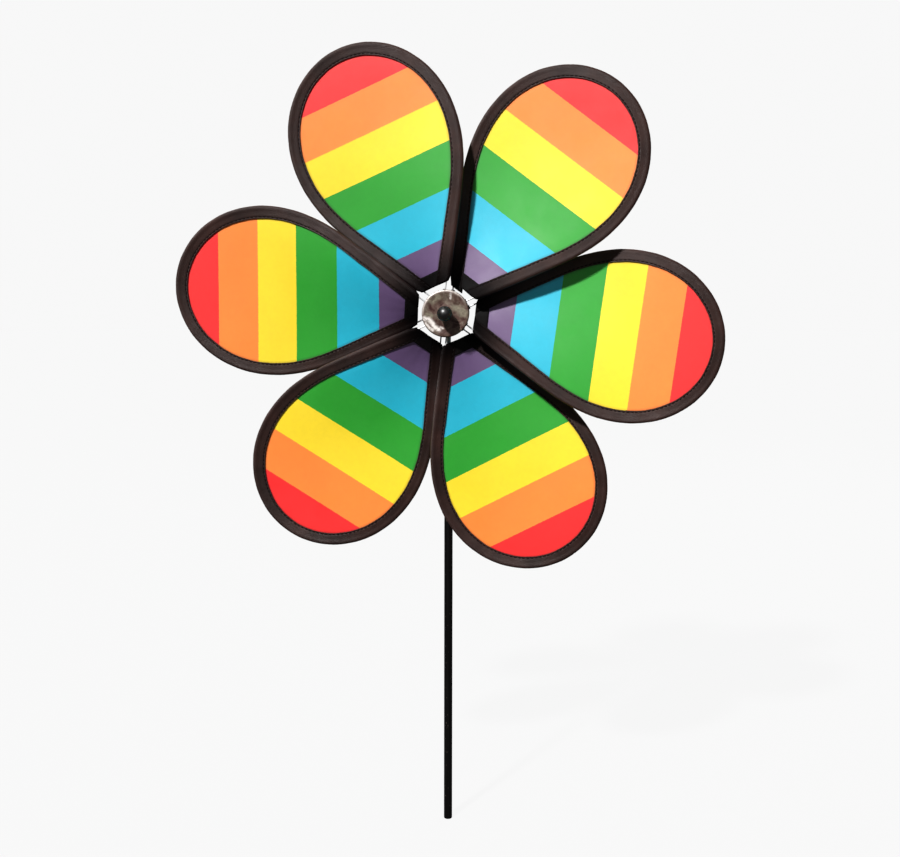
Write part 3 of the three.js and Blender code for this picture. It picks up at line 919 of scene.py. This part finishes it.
def moulded(name, shapes, cutters, material):
    """A moulded body: overlapping shapes merged and softened, with the cutters taken away."""
    piece = join_shapes(name, shapes)
    remesh = piece.modifiers.new("merge", "REMESH")
    remesh.mode = "VOXEL"
    remesh.voxel_size = 0.36 * MM
    smooth = piece.modifiers.new("soften", "SMOOTH")
    smooth.iterations = 4
    smooth.factor = 0.5
    cutter = join_shapes(name + "_cutter", cutters)
    cut = piece.modifiers.new("cut", "BOOLEAN")
    cut.operation = "DIFFERENCE"
    cut.solver = "EXACT"
    cut.object = cutter
    bpy.context.view_layer.update()
    graph = bpy.context.evaluated_depsgraph_get()
    made = bpy.data.meshes.new_from_object(piece.evaluated_get(graph))
    piece.modifiers.clear()
    piece.data = made
    bpy.data.objects.remove(cutter)
    made.materials.clear()
    made.materials.append(material)
    made.shade_smooth()
    made.set_sharp_from_angle(angle=math.radians(50))
    return piece


def join_shapes(name, shapes):
    points, faces = [], []
    for shape_points, shape_faces in shapes:
        start = len(points)
        points += list(shape_points)
        faces += [tuple(k + start for k in face) for face in shape_faces]
    mesh = new_mesh(name, points, faces)
    mesh.update()
    return add_object(name, mesh)


def lathe(profile, origin, axis, segments):
    """A closed body turned about an axis through the origin. Points are (radius, distance), from
    one end on the axis to the other end on it."""
    axis = np.asarray(axis, float) / np.linalg.norm(axis)
    helper = np.array([0.0, 0.0, 1.0]) if abs(axis[2]) < 0.9 else np.array([1.0, 0.0, 0.0])
    u = np.cross(helper, axis)
    u /= np.linalg.norm(u)
    v = np.cross(axis, u)
    turn = 2 * math.pi * np.arange(segments) / segments
    outward = np.cos(turn)[:, None] * u + np.sin(turn)[:, None] * v
    rings = [np.asarray(origin) + axis * along + radius * outward for radius, along in profile]
    return tube(np.array(rings))


def pin(radius, start, end, segments):
    return lathe([(radius, 0), (radius, np.linalg.norm(end - start))], start, end - start, segments)


def on_axle(along):
    return np.array([WHEEL.x, WHEEL.y - along, WHEEL.z])


BOSS_RADIUS = 1.5 * MM
ROD_HOLE = 0.62 * MM
HUB_BORE = 3.15 * MM


def make_hub():
    """The drum that the rods plug into: a waisted body with a boss round each rod's end."""
    half, radius = HUB_FRONT, HUB_RADIUS
    profile = [
        (radius - 1.2 * MM, -half), (radius - 0.3 * MM, -half + 0.3 * MM),
        (radius, -half + 1.2 * MM), (radius, -2.4 * MM), (radius - 0.9 * MM, -1.6 * MM),
        (radius - 0.9 * MM, 1.6 * MM), (radius, 2.4 * MM), (radius, half - 0.6 * MM),
        (radius - 0.5 * MM, half),
    ]
    shapes, cutters = [lathe(profile, on_axle(0), FRONT, 96)], []
    ends = (straight_run(ROD_REACH - ROD_INNER_RADIUS), straight_run(0.0))
    for index in range(PETALS):
        for side in (-1, 1):
            inner, outside = (petal_points(index, s, side * t, 0.0, lift) for s, t in ends)
            run = (outside - inner) / np.linalg.norm(outside - inner)
            boss_end = inner + run * (radius - ROD_INNER_RADIUS + 0.7 * MM)
            shapes.append(pin(BOSS_RADIUS, inner + run * 4 * MM, boss_end, 24))
            cutters.append(pin(ROD_HOLE, inner - run * 0.4 * MM, boss_end + run * 3 * MM, 20))
    cutters.append(pin(HUB_BORE, on_axle(-half - 2 * MM), on_axle(half + 2 * MM), 48))
    piece = moulded("hub", shapes, cutters, HUB)
    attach(piece, "wheel")
    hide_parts("hub_body")


# Painted reflections: bright marks on the disc, in millimetres from its centre: the line each one
# follows, its half width and how strong it is
DISC_REFLECTIONS = [
    ([(-13.8, -3.4), (-11.0, -4.0), (-8.6, -6.4), (-7.2, -8.8), (-4.2, -10.6)], 1.5, 1.0),
    ([(-13.0, -6.6), (-10.8, -9.4), (-8.4, -11.2)], 0.9, 0.8),
    ([(3.5, 13.0), (3.3, 10.0)], 0.8, 0.6),
    ([(-3.0, -9.2), (-1.6, -9.8)], 0.7, 0.7),
]
DISC_DUST = [
    ([(7.0, 4.4), (10.6, 2.4), (11.8, 0.0)], 2.9),
    ([(-9.0, 8.6), (-5.0, 10.6)], 2.6),
    ([(-12.6, -0.8), (-9.6, -1.6)], 1.5),
]


def smear(spot, line, wide):
    """How strongly a mark along a line covers a spot, from 0 to 1."""
    line = np.array(line)
    nearest = 1e9
    for start, end in zip(line[:-1], line[1:]):
        run = end - start
        share = np.clip(np.dot(spot - start, run) / np.dot(run, run), 0, 1)
        nearest = min(nearest, float(np.linalg.norm(spot - start - share * run)))
    return math.exp(-((nearest / wide) ** 3))


DISC_BORE = 3.2 * MM
DISC_SEGMENTS = 160

# The disc is slightly dished inside its rolled rim
DISH_DEPTH = 0.55 * MM
RIM_START = 14.6 * MM
DENT_DEPTH = 0.022 * MM

# A painted highlight on the rim, on the side towards the light: where, how wide and how strongly
RIM_HIGHLIGHT_RADIUS = 15.3 * MM
RIM_HIGHLIGHT_HALF = 0.75 * MM
RIM_HIGHLIGHT_ANGLE = math.radians(112)
RIM_HIGHLIGHT = 0.8


def disc_profile(low, high, outer):
    """The disc's closed profile of (radius, distance, dented), over its front and back behind."""
    radii = np.concatenate([np.linspace(DISC_BORE, 13.8 * MM, 30), np.linspace(14.0 * MM, outer, 12)])
    dished = np.sin(np.clip((radii / outer - 0.25) / 0.62, 0, 1) * math.pi)
    rim = np.sqrt(np.clip(1 - ((radii - RIM_START) / (outer - RIM_START)) ** 2, 0, 1))
    rolled = low + 0.5 * MM + (high - low - 0.65 * MM) * rim
    top = np.where(radii > RIM_START, rolled, high - 0.15 * MM - DISH_DEPTH * dished)
    top[0] -= 0.1 * MM
    bottom = np.maximum(low, np.minimum(top - 0.7 * MM, low + 0.6 * MM))
    bottom[-1] = low + 0.15 * MM
    back = [(r, n, 0.0) for r, n in zip(radii[::-1], bottom[::-1])]
    return [(r, n, 1.0) for r, n in zip(radii, top)] + back


def make_disc():
    low, high = span("hub_front_disc")
    outer = radius_of("hub_front_disc")
    draw = np.random.default_rng(RANDOM_SEED + 7)
    waves = [(draw.uniform(0.3, 0.8), draw.uniform(0, 6.28), draw.uniform(0, 6.28)) for _ in range(10)]
    profile = disc_profile(low, high, outer)
    points, rubbed, dusty = [], [], []
    for angle in 2 * math.pi * np.arange(DISC_SEGMENTS) / DISC_SEGMENTS:
        for radius, n, dent in profile:
            x, z = radius * math.cos(angle), radius * math.sin(angle)
            dents = sum(
                math.sin(f * (x * math.cos(d) + z * math.sin(d)) / MM + p) for f, d, p in waves
            )
            n = n + dent * DENT_DEPTH * dents * min(1.0, (outer - radius) / (3 * MM))
            points.append((WHEEL.x + x, WHEEL.y - min(n, high), WHEEL.z + z))
            spot = np.array([x, z]) / MM
            # Painted reflections: bright marks along the listed lines
            reflections = sum(share * smear(spot, line, wide) for line, wide, share in DISC_REFLECTIONS)
            # Painted highlight: the rim is painted brighter on the side towards the light
            wear = RIM_HIGHLIGHT * math.exp(-(((radius - RIM_HIGHLIGHT_RADIUS) / RIM_HIGHLIGHT_HALF) ** 2))
            rubbed.append(min(1.0, reflections + wear * max(0.0, math.cos(angle - RIM_HIGHLIGHT_ANGLE))))
            dusty.append(min(1.0, sum(smear(spot, line, wide) for line, wide in DISC_DUST)))
    faces = turned_faces(DISC_SEGMENTS, len(profile))
    piece = new_piece("front_disc", points, faces, "wheel", "disc", DISC, "hub_front_disc")
    add_values(piece, len(points), rubbed=rubbed, dusty=dusty)


def make_ring(name, node, body, slot_name, material, bend):
    """A ring on the axle line whose edges are rounded by bend."""
    low, high = span(node)
    outer = radius_of(node)
    corners = [(WIRE_HOLE, low, bend), (outer, low, bend), (outer, high, bend), (WIRE_HOLE, high, bend)]
    turned(name, rounded(corners), body, slot_name, material, node, 64)


KNOB_STEM = 3.4 * MM


def make_knob():
    """A ball on a short stem with a small flange, bored for the wire."""
    low, high = span("axle_knob")
    ball = radius_of("axle_knob")
    stem, hole = KNOB_STEM, WIRE_HOLE
    join = math.asin((stem + 0.15 * MM) / ball)
    profile = [(0.0, low + 7 * MM), (hole, low + 7 * MM), (hole, low + 0.3 * MM)]
    profile += [(hole + 0.3 * MM, low), (stem + 0.2 * MM, low), (stem + 0.45 * MM, low + 0.25 * MM)]
    profile += [(stem + 0.45 * MM, low + 0.6 * MM), (stem, low + 0.9 * MM)]
    for angle in np.linspace(math.pi - join, 0, 26):
        profile.append((ball * math.sin(angle), high - ball + ball * math.cos(angle)))
    turned("knob", profile, "head", "knob", KNOB, "axle_knob", 72)


AXLE_BEND = 7 * MM


def make_axle():
    """The bent wire: up out of the stick's cap, round and forward into the knob."""
    low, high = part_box("axle")
    radius = radius_of("axle")
    upright = [(0.0, z) for z in np.linspace(low.z + 0.3 * MM, WHEEL.z - AXLE_BEND, 60)[:-1]]
    turn = np.linspace(0, math.pi / 2, 26)
    bend = [(AXLE_BEND * (math.cos(a) - 1), WHEEL.z + AXLE_BEND * (math.sin(a) - 1)) for a in turn]
    forward = [(y, WHEEL.z) for y in np.linspace(-AXLE_BEND, low.y + 0.3 * MM, 90)[1:]]
    path = [(0.0, low.z), *upright, *bend, *forward, (low.y, WHEEL.z)]
    line = np.array([(WHEEL.x, y, z) for y, z in path])
    length = np.concatenate([[0], np.cumsum(np.linalg.norm(np.diff(line, axis=0), axis=1))])
    drawn = 0.010 * np.sin(length / (5.1 * MM)) + 0.008 * np.sin(length / (1.9 * MM) + 1)
    thick = radius * (0.985 + 0.6 * drawn)
    thick[[0, -1]] = radius - 0.35 * MM
    shape = tube(wire_rings(line, np.array([1.0, 0.0, 0.0]), thick, 32))
    new_piece("axle_wire", *shape, "head", "steel", STEEL, "axle")


make_hub()
make_disc()
make_ring("sleeve", "hub_sleeve", "wheel", "steel", STEEL, 0.25 * MM)
make_ring("washer_front", "front_washer", "head", "steel", STEEL, 0.3 * MM)
make_ring("washer_rear", "rear_washer", "head", "steel", STEEL, 0.3 * MM)
make_ring("spacer", "rear_spacer", "head", "holder", HOLDER, 0.35 * MM)
make_knob()
make_axle()


# ---- Cap, collar and stick ------------


FLUTES = 18
FLUTE_DEPTH = 0.22 * MM


def upright_piece(name, profile, body, node, flutes=None):
    """A moulded ring about the stick's line, from a closed profile of (radius, height) points.
    flutes gives the heights between which its outside is fluted."""
    segments = 8 * FLUTES
    widest = max(radius for radius, _ in profile)
    points = []
    for a in range(segments):
        angle = 2 * math.pi * a / segments
        for radius, height in profile:
            if flutes and flutes[0] < height < flutes[1] and radius > widest - 0.8 * MM:
                radius -= FLUTE_DEPTH * (0.5 - 0.5 * math.cos(FLUTES * angle)) ** 2
            points.append((radius * math.cos(angle), radius * math.sin(angle), height))
    new_piece(name, points, turned_faces(segments, len(profile)), body, "holder", HOLDER, node)


def make_cap():
    low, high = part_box("stick_cap")
    outer = high.x
    socket = 3.35 * MM
    hole = WIRE_HOLE
    waist = outer - 0.45 * MM
    socket_top = STICK_TOP + 0.3 * MM
    corners = [
        (socket, low.z, 0.3 * MM), (outer, low.z, 0.5 * MM), (outer, low.z + 2.4 * MM, 0.4 * MM),
        (waist, low.z + 3.1 * MM, 0.3 * MM), (waist, high.z - 9.0 * MM, 0.3 * MM),
        (outer, high.z - 8.0 * MM, 0.4 * MM), (outer, high.z - 1.8 * MM, 0.9 * MM),
        (outer - 1.9 * MM, high.z, 0.7 * MM), (hole, high.z, 0.2 * MM),
        (hole, socket_top, 0.0), (socket, socket_top, 0.0),
    ]
    fluted = (low.z + 3.2 * MM, high.z - 9.2 * MM)
    upright_piece("cap", split_long(rounded(corners), 1.2 * MM), "stick", "stick_cap", fluted)


def split_long(outline, longest):
    """A closed outline with extra points on its long straight runs."""
    made = []
    for k, here in enumerate(outline):
        there = np.asarray(outline[(k + 1) % len(outline)])
        pieces = max(1, math.ceil(np.linalg.norm(there - here) / longest))
        made += [tuple(here + (there - here) * j / pieces) for j in range(pieces)]
    return made


def make_collar():
    low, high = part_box("swivel_collar")
    outer = high.x
    groove = (low.z + high.z) / 2
    corners = [
        (WIRE_HOLE, low.z, 0.2 * MM), (outer, low.z, 0.35 * MM), (outer, groove - 0.4 * MM, 0.1 * MM),
        (outer - 0.35 * MM, groove, 0.1 * MM), (outer, groove + 0.4 * MM, 0.1 * MM),
        (outer, high.z, 0.35 * MM), (WIRE_HOLE, high.z, 0.2 * MM),
    ]
    upright_piece("collar", rounded(corners), "head", "swivel_collar")


# The stick is slightly uneven: the pitches of its ripples in millimetres, and their depth
RIPPLE_PITCHES = (17.0, 31.0, 53.0)
RIPPLE_SHARE = 0.006


def make_stick():
    edge = 0.5 * MM
    profile = [(STICK_RADIUS - 0.35 * MM, 0.0), (STICK_RADIUS - 0.1 * MM, 0.12 * MM)]
    profile += [(STICK_RADIUS, z) for z in np.linspace(0.6 * MM, STICK_TOP - 1 * MM, 160)]
    profile += [(STICK_RADIUS, STICK_TOP - edge), (STICK_RADIUS - edge, STICK_TOP)]
    points, faces = lathe(profile, (0, 0, 0), (0, 0, 1), 48)
    draw = np.random.default_rng(RANDOM_SEED + 9)
    turn = points[:, 2] / MM * 2 * math.pi
    ripple = sum(np.sin(turn / pitch + draw.uniform(0, 6.28)) for pitch in RIPPLE_PITCHES)
    points[:, :2] *= (1 - RIPPLE_SHARE * (ripple + 3) / 6)[:, None]
    new_piece("garden_stick", points, faces, "stick", "stick", STICK, "stick")


make_cap()
make_collar()
make_stick()


# ---- Stage, lights and camera ------------

# How far the stage reaches, how brightly it glows, and how much light the floor takes
STAGE_RADIUS = 9.0
BACKDROP_GLOW = 0.785
FLOOR_GLOW = 0.766
FLOOR_MATT = 0.018

KEY_DIRECTION = (-0.58, -1.0, 1.05)
FILL_DIRECTION = (0.35, -1.0, 0.5)
REAR_DIRECTION = (0.5, 1.0, 0.8)
LIGHT_TARGET = Vector((0, 0, 0.35))
WORLD_GREY = 0.12

CAMERA_PLACE = (0.0481, -0.7571, 0.3933)
CAMERA_RIGHT = (0.99805, 0.06242, 0.00191)
CAMERA_BACK = (0.06162, -0.98928, 0.13242)
CAMERA_LENS = 43.2


def pale_material(name, glow, matt):
    sockets = {"Emission_Color": (1, 1, 1, 1), "Emission_Strength": glow, "Specular_IOR_Level": 0.0}
    return Paint(name, (matt, matt, matt), 1.0, **sockets).material


def stage_mesh(name, points, faces, material):
    mesh = new_mesh(name, points, faces)
    mesh.materials.append(material)
    piece = add_object(name, mesh)
    for ray in ("diffuse", "glossy", "transmission", "shadow"):
        setattr(piece, "visible_" + ray, False)


def make_stage():
    """A round floor inside a pale globe."""
    turn = 2 * math.pi * np.arange(96) / 96
    floor_points = [(STAGE_RADIUS * math.cos(a), STAGE_RADIUS * math.sin(a), 0.0) for a in turn]
    floor_material = pale_material("pale_floor", FLOOR_GLOW, FLOOR_MATT)
    stage_mesh("floor", floor_points, [tuple(range(96))], floor_material)
    globe = STAGE_RADIUS * 1.02
    rings = [(globe * math.cos(e), globe * math.sin(e)) for e in np.radians(np.linspace(-89, 89, 60))]
    shape = lathe(rings, (0, 0, 0), (0, 0, 1), 96)
    stage_mesh("backdrop", *shape, pale_material("pale_backdrop", BACKDROP_GLOW, 0.0))


def add_light(name, kind, energy, direction, distance=0.0, **settings):
    """A light that shines on the object from a direction."""
    data = bpy.data.lights.new(name, kind)
    data.energy = energy
    for key, value in settings.items():
        setattr(data, key, value)
    lamp = add_object(name, data)
    lamp.rotation_euler = Vector(direction).to_track_quat("Z", "Y").to_euler()
    lamp.location = Vector(direction).normalized() * distance + LIGHT_TARGET


def light_scene():
    add_light("key", "SUN", 4.56, KEY_DIRECTION, angle=math.radians(4))
    add_light("fill", "AREA", 1.5, FILL_DIRECTION, 1.6, shape="DISK", size=0.9)
    add_light("rear_fill", "AREA", 12.0, REAR_DIRECTION, 1.8, shape="DISK", size=1.2)
    world = bpy.data.worlds.new("studio")
    world.use_nodes = True
    background = world.node_tree.nodes["Background"]
    background.inputs["Color"].default_value = (WORLD_GREY, WORLD_GREY, WORLD_GREY, 1)
    background.inputs["Strength"].default_value = 1.0
    bpy.context.scene.world = world


def place_camera():
    data = bpy.data.cameras.new("camera")
    data.sensor_width = 36.0
    data.lens = CAMERA_LENS
    camera = add_object("camera", data)
    back = Vector(CAMERA_BACK).normalized()
    up = back.cross(Vector(CAMERA_RIGHT)).normalized()
    turn = Matrix((up.cross(back), up, back)).transposed()
    camera.matrix_world = Matrix.Translation(CAMERA_PLACE) @ turn.to_4x4()
    bpy.context.scene.camera = camera


make_stage()
light_scene()
place_camera()
bpy.context.scene.view_settings.view_transform = "Standard"
bpy.context.scene.view_settings.look = "Medium High Contrast"
